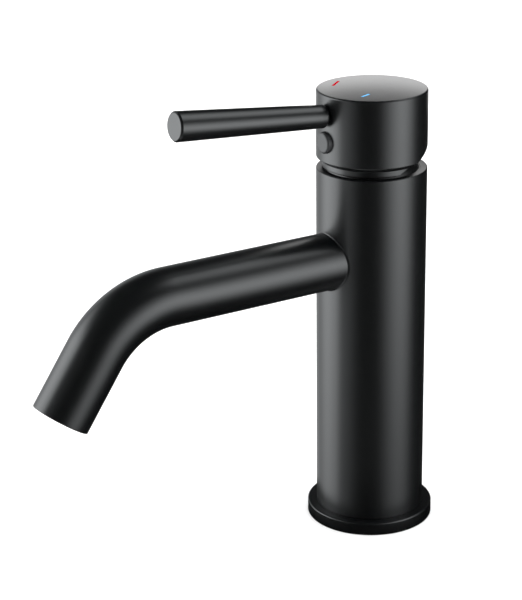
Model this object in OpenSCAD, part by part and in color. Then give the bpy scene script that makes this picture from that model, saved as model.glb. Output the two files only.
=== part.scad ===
// Single-lever bathroom mixer: a round column on a base ring, a bent tube spout and a rod lever.
// Origin: the column's axis where it meets the deck. +Z is up, the spout and the lever point along -Y,
// hot is on the -X side and cold on the +X side. The lever is down, so the water is off.

/* [Column] */
// Outer diameter of the column and the head
column_d = 46; // [45:0.5:56]
// Wall of the column tube
column_wall = 3; // [2.5:0.25:3.5]
// Height of the column's top edge above the deck
column_h = 156.5; // [140:0.5:200]
// How far the base ring stands out past the column
ring_step = 3.9; // [2.5:0.1:8]
// Height of the base ring
ring_h = 5.5; // [5:0.25:9]
// Depth of the base ring's recess that the column stands in
ring_recess = 3; // [2:0.25:3.5]

/* [Spout] */
// Outer diameter of the spout tube
spout_d = 24; // [22:0.5:28]
// Wall of the spout tube
spout_wall = 1.5; // [1.2:0.1:2]
// Distance of the spout's centreline below the column's top edge
spout_drop = 37.5; // [37:0.5:50]
// Straight run, from the column's axis to the start of the bend
spout_run = 98.6; // [70:0.5:150]
// Bend radius at the tube's centreline
bend_r = 39.4; // [26:0.2:60]
// Angle that the spout turns down
bend_angle = 55.7; // [30:1:80]
// Straight length after the bend
spout_end = 29; // [22:0.5:50]

/* [Head] */
// Height of the head's top face above the column's top edge
head_h = 33; // [31:0.5:45]
// Gap between the column and the head's lower edge
head_gap = 0.8; // [0.5:0.1:1.2]
// Height of the bevel round the head's lower edge
head_bevel = 4; // [3:0.25:5]
// Rounding of the head's top edge
head_round = 0.7; // [0.3:0.1:1.2]
// How far the handle tilts back, in degrees
lift_angle = 25; // [15:1:26]

/* [Lever] */
// Distance of the lever's axis below the head's top face, at the column's axis
lever_drop = 10.6; // [10:0.2:13]
// Upward slope of the lever, in degrees
lever_slope = 5.2; // [0:0.2:8]
// Length of the lever, from the column's axis to its tip
lever_reach = 92.9; // [60:0.5:150]
// Diameter of the lever at the head
lever_root_d = 9.6; // [8:0.1:11.6]
// Diameter of the lever at its tip
lever_tip_d = 12.2; // [8:0.1:16]
// Diameter of the stud that holds the lever
stud_d = 5; // [4:0.5:6]

/* [Set screw] */
// Distance of the screw cover's centre below the head's top face
cover_drop = 19.5; // [18:0.25:20]
// Diameter of the screw cover
cover_d = 9.2; // [7:0.1:10]
// Diameter of the set screw
screw_d = 5; // [4:0.5:5]

/* [Cartridge] */
// Outer diameter of the cartridge
cartridge_d = 35; // [29:0.5:35.5]
// Width of the square stem
stem_w = 8; // [7:0.25:8.5]
// Diameter of the pin that the stem rocks on
pin_d = 3; // [2.5:0.25:4]
// Depth of the rocker pin below the column's top edge
pin_depth = 9; // [8.5:0.25:10]
// Distance from the rocker pin down to the stem's ball
ball_drop = 9; // [8:0.25:9.5]
// Thickness of each ceramic disc
disc_t = 2.5; // [2:0.25:3]

/* [Inlets] */
// Height of the valve body's underside above the deck
body_z = 80; // [40:1:95]
// Tapping diameter of the two hose threads, M10 x 1
inlet_d = 9; // [8:0.5:10]
// Depth of the hose threads
inlet_depth = 12; // [8:0.5:15]
// Tapping diameter of the fixing stud's thread, M8
fixing_d = 6.8; // [5:0.1:8.5]
// Depth of the fixing stud's thread
fixing_depth = 18; // [10:0.5:22]

/* [Temperature marks] */
// Centre of the hot mark on the head's top face
hot_at = [-14.6, -8]; // [-16:0.1:16]
// Direction of the hot mark, in degrees from +X
hot_turn = 129; // [0:1:180]
// Length of the hot mark
hot_len = 8.4; // [4:0.1:9]
// Centre of the cold mark on the head's top face
cold_at = [8.9, -9.4]; // [-16:0.1:16]
// Direction of the cold mark, in degrees from +X
cold_turn = 112; // [0:1:180]
// Length of the cold mark
cold_len = 5.4; // [4:0.1:9]
// Width of both marks
mark_w = 1.1; // [0.6:0.1:2]

/* [Hidden] */

// Clearances and small sizes that many pieces share
over = 1;            // how far a cut runs past the face it leaves
slide_gap = 0.4;     // between pieces that move past each other
turn_gap = 0.05;     // radial clearance of a running fit
seat_gap = 0.2;      // radial clearance where one fixed piece drops into another
edge_round = 0.5;    // fillet on the edges that a hand meets
oring_r = 0.8;       // half the thickness of an O-ring

// Column
column_r = column_d / 2;
bore_r = column_r - column_wall;
ring_r = column_r + ring_step;
ring_bore_r = bore_r - 1.5;
column_z = ring_h - ring_recess;
gasket_h = 1.5;
gasket_in_r = ring_bore_r + 2;
gasket_out_r = ring_r - 2.4;

// Spout
spout_r = spout_d / 2;
spout_bore_r = spout_r - spout_wall;
spout_z = column_h - spout_drop;
bend_end = [0, -spout_run - bend_r * sin(bend_angle), spout_z - bend_r * (1 - cos(bend_angle))];
outlet = bend_end + spout_end * [0, -cos(bend_angle), -sin(bend_angle)];
lap = 0.5;           // how far the straight stretches run into the bend
fuller = 0.02;       // how much fuller they are than the bend
nipple_r = 5.5;
nipple_bore_r = 4;
nipple_reach = 12;   // from the column's face into the spout
socket_len = 14;     // thick stretch of the spout that the nipple screws into

// Aerator, measured back from the spout's mouth
aerator_recess = 1.2;
aerator_len = 9;
aerator_wall = 1.4;
aerator_r = spout_bore_r - turn_gap;
washer_t = 1.5;
lip_in = 1;

// Cartridge, measured up from its seat
pin_z = column_h - pin_depth;
ball_z = pin_z - ball_drop;
ball_r = 2.8;
neck_r = 1.8;
neck_top = pin_z - stem_w / 2 - 0.5;
carrier_floor_z = ball_z - ball_r - slide_gap;
carrier_floor = 1.5;
carrier_z = carrier_floor_z - carrier_floor;
moving_z = carrier_z - disc_t;
fixed_z = moving_z - 0.3 - disc_t;
base_t = 2.5;
seat_z = fixed_z - base_t;
cartridge_r = cartridge_d / 2;
housing_wall = 1.7;
housing_in_r = cartridge_r - housing_wall;
chamber_r = cartridge_r + seat_gap;
shoulder_z = pin_z - 1.5;
neck_z = pin_z + 4.5;
turret_neck_r = cartridge_r - 4.15;
housing_neck_r = turret_neck_r + turn_gap + 1.2;
turret_z = ball_z + ball_r + 0.2;
carrier_top = turret_z - 0.6;
lift_travel = ball_drop * lift_angle * PI / 180;
carrier_r = housing_in_r - lift_travel - 0.65;
disc_r = carrier_r - 0.2;
lug = [2.4, 6, 3];   // the turret's two lugs, which turn and guide the disc carrier
lug_x = carrier_r - 2.7;
body_r = bore_r - seat_gap;
body_top = neck_z + 1;
inlet_at = [7.5, -2.5];
port_r = 2.4;
outlet_at = [0, 5];
outlet_r = 3.2;
seal_w = 1.2;
seal_t = 1;
peg_at = [8, 8];
peg_r = 1.25;
peg_len = 2;
fixing_at = [0, 12];

// Dome that the head rolls over, centred on the rocker pin
dome_r = norm([bore_r - 0.5, pin_depth]);
dome_wall = 2;
cavity_r = dome_r + 0.62;
dome_hole_r = dome_r * sin(acos((pin_depth + slide_gap) / cavity_r) - lift_angle);

// Head
head_z = column_h + head_gap;
head_top = column_h + head_h;
relief = pin_depth + slide_gap;    // distance from the pin to the relief cut at the back
rim_r = sqrt(pow(cavity_r, 2) - pow(head_z - pin_z, 2));
stem_top = head_top - 13;
socket_gap = 0.1;
lever_z = head_top - lever_drop;
cover_z = head_top - cover_drop;
cover_depth = 3.5;
plug_out = 1.7;
plug_t = plug_out + 2.5;
plug_round = 0.9;
screw_rise = 3.8;
screw_start = [0, -column_r + cover_depth, cover_z];
screw_aim = [0, -stem_w / 2, cover_z + screw_rise];
screw_tilt = atan2(screw_rise, screw_aim.y - screw_start.y);
screw_reach = norm(screw_aim - screw_start) - screw_d / 2 * tan(screw_tilt);
screw_len = 8;
hex_key = 2.5;

// Lever
root_at = column_r / cos(lever_slope);
spigot_r = 3.1;
spigot_in = 0.6;
spigot_out = 1.1;
lever_chamfer = 0.8;
stud_in = 10;
stud_out = 11;
mark_t = 0.3;

// ---- shared shapes ----

// Ring between two radii, from height z0 to z1
module ring(r_in, r_out, z0, z1) {
    rotate_extrude() translate([r_in, z0]) square([r_out - r_in, z1 - z0]);
}

// What is lost where the outer corner of a profile is rounded; out points away from the material
module corner_loss(at, out, r) {
    centre = [at.x - out.x * r, at.y - out.y * r];
    difference() {
        translate([out.x > 0 ? centre.x : centre.x - r - over, out.y > 0 ? centre.y : centre.y - r - over])
            square(r + over);
        translate(centre) circle(r);
    }
}

// O-ring about the Z axis
module oring(mid_r, z, r = oring_r) {
    translate([0, 0, z]) rotate_extrude() translate([mid_r, 0]) circle(r);
}

// The children's Z axis becomes the spout's own, pointing out of its mouth
module at_outlet() {
    translate(outlet) rotate([90 + bend_angle, 0, 0]) children();
}

// The children's Z axis becomes the lever's own, starting on the column's axis
module along_lever() {
    translate([0, 0, lever_z]) rotate([90 - lever_slope, 0, 0]) children();
}

// The children's Z axis becomes the set screw's own, running in towards the stem
module along_screw() {
    translate(screw_start) rotate([screw_tilt - 90, 0, 0]) children();
}

// A solid rod of the spout's path: straight run, bend and straight end. The straight stretches are
// a hair fuller than the bend and lap over its ends, so that the three fuse without slivers.
module spout_path(r, start = 0) {
    translate([0, -start, spout_z]) rotate([90, 0, 0]) cylinder(h = spout_run + lap - start, r = r + fuller);
    translate([0, -spout_run, spout_z - bend_r]) rotate([180, -90, 0])
        rotate_extrude(angle = bend_angle) translate([bend_r, 0]) circle(r);
    at_outlet() translate([0, 0, -spout_end - lap]) cylinder(h = spout_end + lap, r = r + fuller);
}

// The children at both hose inlets
module at_inlets() {
    for (side = [-1, 1]) translate([side * inlet_at.x, inlet_at.y, 0]) children();
}

// ---- column ----

module base_ring() {
    color("#232425") rotate_extrude() difference() {
        translate([ring_bore_r, 0]) square([ring_r - ring_bore_r, ring_h]);
        translate([0, column_z]) square([column_r + turn_gap, ring_h]);
        translate([gasket_in_r, -over]) square([gasket_out_r - gasket_in_r, gasket_h + over]);
        translate([column_r, ring_h - 2 * oring_r - 0.4]) square([oring_r * 2 - 0.4, oring_r * 2]);
        corner_loss([ring_r, ring_h], [1, 1], edge_round);
        corner_loss([ring_r, 0], [1, -1], 0.3);
    }
}

module deck_gasket() {
    color("#303030") ring(gasket_in_r, gasket_out_r, 0, gasket_h);
}

module column_oring() {
    color("#202020") oring(column_r + oring_r - 0.2, ring_h - oring_r - 0.4, oring_r - 0.2);
}

module column_shell() {
    color("#1f2021") difference() {
        rotate_extrude() difference() {
            translate([bore_r, column_z]) square([column_wall, column_h - column_z]);
            corner_loss([column_r, column_h], [1, 1], edge_round);
            corner_loss([bore_r, column_h], [-1, 1], 0.3);
        }
        translate([0, 0, spout_z]) rotate([90, 0, 0]) cylinder(h = column_r + over, r = nipple_r);
    }
}

module valve_body() {
    color("#b5924c") difference() {
        ring(0, body_r, body_z, body_top);
        translate([0, 0, seat_z]) cylinder(h = body_top, r = chamber_r);
        translate([0, outlet_at.y + outlet_r + over, spout_z]) rotate([90, 0, 0])
            cylinder(h = body_r + outlet_at.y + outlet_r + 2 * over, r = nipple_bore_r);
        translate([0, -body_r + nipple_reach / 2, spout_z]) rotate([90, 0, 0]) cylinder(h = body_r, r = nipple_r);
        translate([outlet_at.x, outlet_at.y, spout_z]) cylinder(h = body_top, r = outlet_r);
        at_inlets() translate([0, 0, body_z]) cylinder(h = body_top, r = port_r);
        at_inlets() translate([0, 0, body_z - over]) cylinder(h = inlet_depth + over, r = inlet_d / 2);
        translate([fixing_at.x, fixing_at.y, body_z - over]) cylinder(h = fixing_depth + over, r = fixing_d / 2);
        for (side = [-1, 1]) translate([side * peg_at.x, peg_at.y, seat_z - peg_len - slide_gap])
            cylinder(h = body_top, r = peg_r + turn_gap);
    }
}

// ---- spout ----

module spout_nipple() {
    start = -body_r + nipple_reach / 2;
    color("#c9a45a") translate([0, start, spout_z]) rotate([90, 0, 0]) difference() {
        cylinder(h = column_r + nipple_reach + start, r = nipple_r);
        translate([0, 0, -over]) cylinder(h = spout_run, r = nipple_bore_r);
        translate([0, 0, column_r - 1.5 + start - oring_r]) ring(nipple_r - oring_r, nipple_r + over, 0, 2 * oring_r);
    }
}

module nipple_oring() {
    color("#202020") translate([0, -column_r + 1.5, spout_z]) rotate([90, 0, 0])
        oring(nipple_r - oring_r / 2, 0, oring_r / 2);
}

module spout_tube() {
    color("#1f2021") difference() {
        spout_path(spout_r, bore_r / 2);
        spout_path(spout_bore_r, column_r + socket_len);
        translate([0, 0, spout_z]) rotate([90, 0, 0]) cylinder(h = column_r + socket_len + over, r = nipple_r);
        cylinder(h = column_h, r = column_r);
    }
}

module aerator_shell() {
    inner = aerator_r - aerator_wall;
    color("#2a2b2c") at_outlet() translate([0, 0, -aerator_recess - aerator_len]) rotate_extrude() difference() {
        square([aerator_r, aerator_len]);
        translate([-over, -over]) square([inner + over, aerator_len - lip_in + over]);
        translate([-over, 0]) square([inner - lip_in + over, aerator_len + over]);
        corner_loss([aerator_r, aerator_len], [1, 1], 0.4);
    }
}

module aerator_grid() {
    inner = aerator_r - aerator_wall - turn_gap;
    pitch = 2.4;
    rows = floor(inner / pitch);
    color("#3a3c3e") at_outlet() translate([0, 0, -aerator_recess - lip_in - 2]) difference() {
        cylinder(h = 2, r = inner);
        for (i = [-rows : rows], j = [-rows : rows])
            if (norm([i, j]) * pitch < inner - 1.4)
                translate([i * pitch, j * pitch, 1]) cube([pitch - 0.7, pitch - 0.7, 2 + over], center = true);
    }
}

module aerator_screens() {
    inner = aerator_r - aerator_wall - turn_gap;
    color("#9a9c9e") at_outlet() for (i = [0, 1])
        translate([0, 0, -aerator_recess - lip_in - 3 - i * 1.2]) difference() {
            cylinder(h = 0.4, r = inner);
            for (a = [0 : 45 : 315], s = [0.35, 0.7])
                rotate(a) translate([s * inner, 0, -over]) cylinder(h = 3, r = 0.8);
        }
}

module flow_regulator() {
    inner = aerator_r - aerator_wall - turn_gap;
    color("#d8d8d2") at_outlet() translate([0, 0, -aerator_recess - aerator_len]) difference() {
        cylinder(h = 3.2, r = inner);
        for (a = [0 : 60 : 300]) rotate(a) translate([inner * 0.6, 0, -over]) cylinder(h = 6, r = 1.2);
    }
}

module aerator_washer() {
    color("#202020") at_outlet() translate([0, 0, -aerator_recess - aerator_len - washer_t])
        ring(aerator_r - 3, aerator_r, 0, washer_t);
}

// ---- cartridge, fixed pieces ----

module cartridge_seals() {
    color("#2b2b2b") {
        at_inlets() ring(port_r, port_r + seal_w, seat_z, seat_z + seal_t);
        translate([outlet_at.x, outlet_at.y, 0]) ring(outlet_r, outlet_r + seal_w, seat_z, seat_z + seal_t);
    }
}

module cartridge_base() {
    color("#d9dad4") difference() {
        union() {
            ring(0, cartridge_r, seat_z, fixed_z);
            for (side = [-1, 1]) translate([side * peg_at.x, peg_at.y, seat_z - peg_len])
                cylinder(h = peg_len + over, r = peg_r);
        }
        at_inlets() translate([0, 0, seat_z - over]) cylinder(h = base_t + 2 * over, r = port_r);
        at_inlets() translate([0, 0, seat_z - over]) cylinder(h = seal_t + over, r = port_r + seal_w);
        translate([outlet_at.x, outlet_at.y, seat_z - over]) {
            cylinder(h = base_t + 2 * over, r = outlet_r);
            cylinder(h = seal_t + over, r = outlet_r + seal_w);
        }
    }
}

module fixed_disc() {
    color("#f0efe9") difference() {
        ring(0, housing_in_r - slide_gap, fixed_z, fixed_z + disc_t);
        at_inlets() translate([0, 0, fixed_z - over]) cylinder(h = disc_t + 2 * over, r = port_r);
        translate([outlet_at.x, outlet_at.y, fixed_z - over]) cylinder(h = disc_t + 2 * over, r = outlet_r);
    }
}

module cartridge_housing() {
    color("#e4e4df") rotate_extrude() difference() {
        union() {
            translate([0, fixed_z]) square([cartridge_r, shoulder_z - fixed_z]);
            translate([0, fixed_z]) square([housing_neck_r, neck_z - fixed_z]);
        }
        translate([-over, fixed_z - over]) square([housing_in_r + over, shoulder_z - 1.5 - fixed_z + over]);
        translate([-over, fixed_z]) square([turret_neck_r + turn_gap + over, neck_z - fixed_z + over]);
    }
}

module cartridge_nut() {
    slots = 6;
    color("#c9a45a") difference() {
        ring(housing_neck_r + seat_gap, chamber_r - turn_gap, shoulder_z, neck_z);
        for (i = [0 : slots - 1]) rotate(i * 360 / slots)
            translate([chamber_r, 0, neck_z]) cube([3, 3, 3], center = true);
    }
}

module limit_ring() {
    color("#b03a3a") ring(turret_neck_r + slide_gap, housing_neck_r, neck_z, neck_z + 1);
}

module bonnet() {
    color("#17181a") rotate_extrude() difference() {
        union() {
            intersection() {
                translate([0, pin_z]) circle(dome_r);
                translate([dome_hole_r, column_h - 0.2]) square([dome_r, dome_r]);
            }
            translate([dome_hole_r, body_top]) square([bore_r - dome_hole_r, column_h - 0.2 - body_top]);
        }
        translate([0, pin_z]) circle(dome_r - dome_wall);
        translate([bore_r - 1.6, column_h - 1 - 2 * oring_r]) square([1.6 + over, 2 * oring_r]);
    }
}

module bonnet_oring() {
    color("#202020") oring(bore_r - oring_r, column_h - 1 - oring_r, oring_r);
}

// ---- cartridge, moving pieces ----

module turret() {
    slot_x = stem_w + 2 * slide_gap;
    front = (stem_w / 2) / cos(lift_angle) + slide_gap;
    top_back = (neck_z - pin_z) * tan(lift_angle) + front + 0.2;
    low_front = (pin_z - turret_z) * tan(lift_angle) + front + 0.2;
    color("#cfd0c8") difference() {
        union() {
            ring(0, turret_neck_r, turret_z, neck_z);
            for (side = [-1, 1]) translate([side * lug_x - lug.x / 2, -lug.y / 2, turret_z - lug.z])
                cube([lug.x, lug.y, lug.z + over]);
        }
        translate([-slot_x / 2, -front, pin_z]) cube([slot_x, front + top_back, neck_z]);
        translate([-slot_x / 2, -low_front, turret_z - over]) cube([slot_x, front + low_front, pin_z - turret_z + over]);
        translate([-column_r, 0, pin_z]) rotate([0, 90, 0]) cylinder(h = column_d, r = pin_d / 2);
    }
}

module rocker_pin() {
    color("#a8abad") translate([1 - turret_neck_r, 0, pin_z]) rotate([0, 90, 0])
        cylinder(h = 2 * turret_neck_r - 2, r = pin_d / 2);
}

module disc_carrier() {
    pocket = ball_r + slide_gap + 0.1;
    slot = [lug.x + 2 * slide_gap, lug.y + lift_travel + 1, lug.z];
    color("#9fb4c8") difference() {
        ring(0, carrier_r, carrier_z, carrier_top);
        translate([0, 0, ball_z]) rotate([0, 90, 0]) cylinder(h = 2 * pocket, r = pocket, center = true);
        translate([-pocket, -pocket, ball_z]) cube([2 * pocket, 2 * pocket, ball_drop]);
        for (side = [-1, 1]) translate([side * lug_x - slot.x / 2, -lug.y / 2 - 0.5, turret_z - lug.z - 0.5])
            cube([slot.x, slot.y, slot.z + over]);
    }
}

module moving_disc() {
    color("#f4f3ee") difference() {
        ring(0, disc_r, moving_z, moving_z + disc_t);
        translate([0, 3.6, moving_z - over]) cylinder(h = disc_t / 2 + over, r = 6.8);
    }
}

module stem() {
    color("#b8bbbd") difference() {
        union() {
            translate([-stem_w / 2, -stem_w / 2, neck_top]) cube([stem_w, stem_w, stem_top - neck_top]);
            translate([0, 0, ball_z]) cylinder(h = neck_top - ball_z + over, r = neck_r);
            translate([0, 0, ball_z]) sphere(ball_r);
        }
        translate([-stem_w, 0, pin_z]) rotate([0, 90, 0]) cylinder(h = 2 * stem_w, r = pin_d / 2 + turn_gap);
    }
}

// ---- handle ----

module mark(at, turn, length, z, t) {
    translate([at.x, at.y, z]) rotate(turn) translate([-length / 2, -mark_w / 2, 0]) cube([length, mark_w, t]);
}

module head() {
    socket_w = stem_w + 2 * socket_gap;
    color("#1f2021") difference() {
        rotate_extrude() difference() {
            translate([0, head_z]) square([column_r, head_top - head_z]);
            polygon([[rim_r, head_z - over], [rim_r, head_z], [column_r, head_z + head_bevel],
                     [column_r + over, head_z + head_bevel], [column_r + over, head_z - over]]);
            corner_loss([column_r, head_top], [1, 1], head_round);
        }
        translate([0, 0, pin_z]) sphere(cavity_r);
        translate([0, 0, pin_z]) rotate([lift_angle, 0, 0]) translate([-column_d, -column_d, -column_d + relief])
            cube([2 * column_d, 2 * column_d, column_d]);
        translate([-socket_w / 2, -socket_w / 2, pin_z]) cube([socket_w, socket_w, stem_top + socket_gap - pin_z]);
        translate([0, -column_r + cover_depth, cover_z]) rotate([90, 0, 0]) cylinder(h = column_r, r = cover_d / 2);
        along_screw() translate([0, 0, -over]) cylinder(h = screw_reach + 2 * over, r = screw_d / 2);
        along_lever() translate([0, 0, root_at - stud_in]) cylinder(h = column_r, r = stud_d / 2);
        along_lever() translate([0, 0, root_at - spigot_in]) cylinder(h = column_r, r = spigot_r);
        mark(hot_at, hot_turn, hot_len, head_top - mark_t, 1);
        mark(cold_at, cold_turn, cold_len, head_top - mark_t, 1);
    }
}

module lever_rod() {
    start = root_at + spigot_out;
    root_r = lever_root_d / 2;
    tip_r = lever_tip_d / 2;
    length = lever_reach / cos(lever_slope) - start;
    color("#1f2021") along_lever() difference() {
        translate([0, 0, start]) rotate_extrude() union() {
            polygon([[0, 0], [root_r - lever_chamfer, 0], [root_r, lever_chamfer], [tip_r, length - lever_chamfer],
                     [tip_r - lever_chamfer, length], [0, length]]);
            translate([0, -spigot_out - spigot_in]) square([spigot_r, spigot_out + spigot_in + over]);
        }
        translate([0, 0, root_at - spigot_in - over]) cylinder(h = stud_out + spigot_in + over, r = stud_d / 2);
    }
}

module lever_stud() {
    color("#b8bbbd") along_lever() translate([0, 0, root_at - stud_in]) cylinder(h = stud_in + stud_out, r = stud_d / 2);
}

module set_screw() {
    color("#3b3d40") along_screw() translate([0, 0, screw_reach - screw_len]) difference() {
        cylinder(h = screw_len, r = screw_d / 2);
        translate([0, 0, -over]) cylinder(h = 3 + over, r = hex_key / 2 / cos(30), $fn = 6);
    }
}

module screw_plug() {
    color("#2a2b2c") translate([0, -column_r - plug_out, cover_z]) rotate([-90, 0, 0])
        rotate_extrude() difference() {
            square([cover_d / 2, plug_t]);
            corner_loss([cover_d / 2, 0], [1, -1], plug_round);
        }
}

module hot_mark() {
    color("#c0001a") mark(hot_at, hot_turn, hot_len, head_top - mark_t, mark_t);
}

module cold_mark() {
    color("#6cb4e6") mark(cold_at, cold_turn, cold_len, head_top - mark_t, mark_t);
}

base_ring();
deck_gasket();
column_oring();
column_shell();
valve_body();
spout_nipple();
nipple_oring();
spout_tube();
aerator_shell();
aerator_grid();
aerator_screens();
aerator_washer();
flow_regulator();
cartridge_seals();
cartridge_base();
fixed_disc();
cartridge_housing();
cartridge_nut();
limit_ring();
bonnet();
bonnet_oring();
turret();
rocker_pin();
disc_carrier();
moving_disc();
stem();
head();
lever_rod();
lever_stud();
set_screw();
screw_plug();
hot_mark();
cold_mark();
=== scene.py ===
"""Looks of a single-lever bathroom mixer in satin black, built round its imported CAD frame.

The frame gives the shape that every piece has to keep. This script models the pieces that show,
with their rounded edges, seams and threads, gives each piece its finish, and lights the mixer.
Lengths are in metres, +Z is up, and the spout and the lever point along -Y.
"""

from __future__ import annotations

import logging
import math
from dataclasses import dataclass, field
from enum import Enum
from typing import Sequence

import bmesh
import bpy
from mathutils import Matrix, Vector


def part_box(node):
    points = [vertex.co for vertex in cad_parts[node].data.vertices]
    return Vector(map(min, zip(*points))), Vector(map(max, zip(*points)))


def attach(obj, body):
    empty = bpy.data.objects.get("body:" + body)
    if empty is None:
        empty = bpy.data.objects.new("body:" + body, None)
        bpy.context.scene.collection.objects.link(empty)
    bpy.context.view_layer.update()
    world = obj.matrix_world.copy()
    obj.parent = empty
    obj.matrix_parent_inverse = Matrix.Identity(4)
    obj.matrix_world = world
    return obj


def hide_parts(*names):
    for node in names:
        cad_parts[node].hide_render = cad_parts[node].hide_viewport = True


logging.basicConfig(level=logging.INFO, format="%(name)s: %(message)s")
LOG = logging.getLogger("mixer")
MM = 0.001
TINY = 1e-6
X_AXIS = Vector((1.0, 0.0, 0.0))
Y_AXIS = Vector((0.0, 1.0, 0.0))
Z_AXIS = Vector((0.0, 0.0, 1.0))
ORIGIN = Vector((0.0, 0.0, 0.0))

CREASE = math.radians(33.0)  # An edge sharper than this is shaded as a crease.
FULL_TURN = 360.0  # Degrees.
GUARD = 0.12 * MM  # How far from each end a long edge gets the point that guards it.
PIN_DEPTH = 9.0 * MM  # How far below the column's top the head's pin lies.
SEAL_ROUNDING = 0.45  # The share of its thickness by which a seal's corners are rounded.
THREAD_FLANK = 0.44  # The share of its pitch that a ridge's foot reaches to each side.
THREAD_TIP = 0.07  # The share of its pitch that a ridge's crest reaches to each side.
SUNK = 0.05 * MM  # How deep a thread's ridge is sunk into its wall.
FINE_LAYERS = 3.0  # How many finer layers lie over a finish's fine grain.
SLOW_LAYERS = 2.0  # How many finer layers lie over its slow mottling.
LAYER_STRENGTH = 0.55  # How strong each finer layer is against the one before.
COAT_ROUGHNESS = 0.08
SCATTER_DEPTH = 0.6 * MM

Mesh = bmesh.types.BMesh
Corner = tuple[float, float, float]

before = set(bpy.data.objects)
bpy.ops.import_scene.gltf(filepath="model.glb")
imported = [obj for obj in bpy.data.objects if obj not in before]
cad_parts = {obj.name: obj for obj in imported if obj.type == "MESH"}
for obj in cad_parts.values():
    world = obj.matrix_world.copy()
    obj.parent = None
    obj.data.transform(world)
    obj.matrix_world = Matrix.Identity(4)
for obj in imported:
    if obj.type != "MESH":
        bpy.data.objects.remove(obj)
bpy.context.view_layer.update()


# ---- finishes ----


class Grain(Enum):
    """How the fine marks of a surface run: the noise is stretched by these shares of its size."""

    EVEN = (1.0, 1.0, 1.0)
    TURNED = (0.05, 0.05, 1.0)


@dataclass(frozen=True)
class Finish:
    """A surface finish: its colour, its gloss, and the fine grain and slow mottling over them."""

    slot: str
    colour: tuple[float, float, float]
    roughness: float
    metallic: float = 0.0
    mottle: float = 0.15
    mottle_size: float = 14.0 * MM
    rough_spread: float = 0.04
    grain: Grain = Grain.EVEN
    grain_size: float = 0.35 * MM
    grain_depth: float = 0.004 * MM
    coat: float = 0.0
    specular: float = 0.5
    scatter: float = 0.0

    def material(self, name: str) -> bpy.types.Material:
        """Builds the finish as a node material, or returns the one that was built before.

        Args:
            name: The material's name.

        Returns:
            The material.
        """
        known = bpy.data.materials.get(name)
        if known is not None:
            return known
        material = bpy.data.materials.new(name)
        material.use_nodes = True
        tree = material.node_tree
        nodes, link = tree.nodes, tree.links.new
        shader = nodes["Principled BSDF"]
        shader.inputs["Metallic"].default_value = self.metallic
        shader.inputs["Specular IOR Level"].default_value = self.specular
        shader.inputs["Coat Weight"].default_value = self.coat
        shader.inputs["Coat Roughness"].default_value = COAT_ROUGHNESS
        shader.inputs["Subsurface Weight"].default_value = self.scatter
        shader.inputs["Subsurface Scale"].default_value = SCATTER_DEPTH
        place = nodes.new("ShaderNodeTexCoord").outputs["Object"]
        fine = self._noise(tree, place, self.grain_size, FINE_LAYERS, self.grain.value)
        slow = self._noise(tree, place, self.mottle_size, SLOW_LAYERS, Grain.EVEN.value)
        blend = nodes.new("ShaderNodeMix")
        blend.data_type = "RGBA"
        blend.inputs[6].default_value = (*self.tone(1.0 - self.mottle), 1.0)
        blend.inputs[7].default_value = (*self.tone(1.0 + self.mottle), 1.0)
        link(slow, blend.inputs[0])
        link(blend.outputs[2], shader.inputs["Base Color"])
        gloss = nodes.new("ShaderNodeMapRange")
        gloss.inputs["To Min"].default_value = self.roughness - self.rough_spread
        gloss.inputs["To Max"].default_value = self.roughness + self.rough_spread
        link(fine, gloss.inputs["Value"])
        link(gloss.outputs["Result"], shader.inputs["Roughness"])
        bump = nodes.new("ShaderNodeBump")
        bump.inputs["Strength"].default_value = 1.0
        bump.inputs["Distance"].default_value = self.grain_depth
        link(fine, bump.inputs["Height"])
        link(bump.outputs["Normal"], shader.inputs["Normal"])
        return material

    def tone(self, share: float) -> tuple[float, float, float]:
        """Returns the colour, made lighter or darker by a share of itself."""
        return tuple(min(1.0, channel * share) for channel in self.colour)

    @staticmethod
    def _noise(
        tree: bpy.types.NodeTree,
        place: bpy.types.NodeSocket,
        size: float,
        detail: float,
        stretch: tuple[float, float, float],
    ) -> bpy.types.NodeSocket:
        """Adds a noise texture on the piece's own coordinates.

        Args:
            tree: The node tree that it goes into.
            place: The socket that gives the coordinates.
            size: The size of one grain, in metres.
            detail: How many finer layers lie over the first.
            stretch: The share of its frequency that the noise keeps along X, Y and Z.

        Returns:
            The socket that gives the noise, from 0 to 1.
        """
        mapping = tree.nodes.new("ShaderNodeMapping")
        mapping.inputs["Scale"].default_value = [share / size for share in stretch]
        tree.links.new(place, mapping.inputs["Vector"])
        noise = tree.nodes.new("ShaderNodeTexNoise")
        noise.inputs["Scale"].default_value = 1.0
        noise.inputs["Detail"].default_value = detail
        noise.inputs["Roughness"].default_value = LAYER_STRENGTH
        tree.links.new(mapping.outputs["Vector"], noise.inputs["Vector"])
        return noise.outputs["Fac"]


SATIN_BLACK = Finish(
    "satin_black", (0.0019, 0.0022, 0.0024), 0.31, rough_spread=0.03, grain_depth=0.0015 * MM,
)
BRASS = Finish(
    "brass", (0.74, 0.55, 0.26), 0.28, metallic=1.0, grain=Grain.TURNED, grain_depth=0.006 * MM,
)
STEEL = Finish(
    "steel", (0.62, 0.63, 0.65), 0.24, metallic=1.0, mottle=0.06, grain=Grain.TURNED,
)
SCREW_STEEL = Finish("steel", (0.16, 0.165, 0.17), 0.38, metallic=1.0, grain_depth=0.005 * MM)
RUBBER = Finish(
    "rubber", (0.022, 0.022, 0.023), 0.72, rough_spread=0.08, grain_depth=0.012 * MM, specular=0.35,
)
WHITE_PLASTIC = Finish(
    "white_plastic", (0.80, 0.80, 0.77), 0.42, mottle=0.03, grain_depth=0.006 * MM, scatter=0.15,
)
BLUE_PLASTIC = Finish(
    "blue_plastic", (0.20, 0.38, 0.60), 0.40, mottle=0.05, grain_depth=0.006 * MM, scatter=0.1,
)
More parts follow.
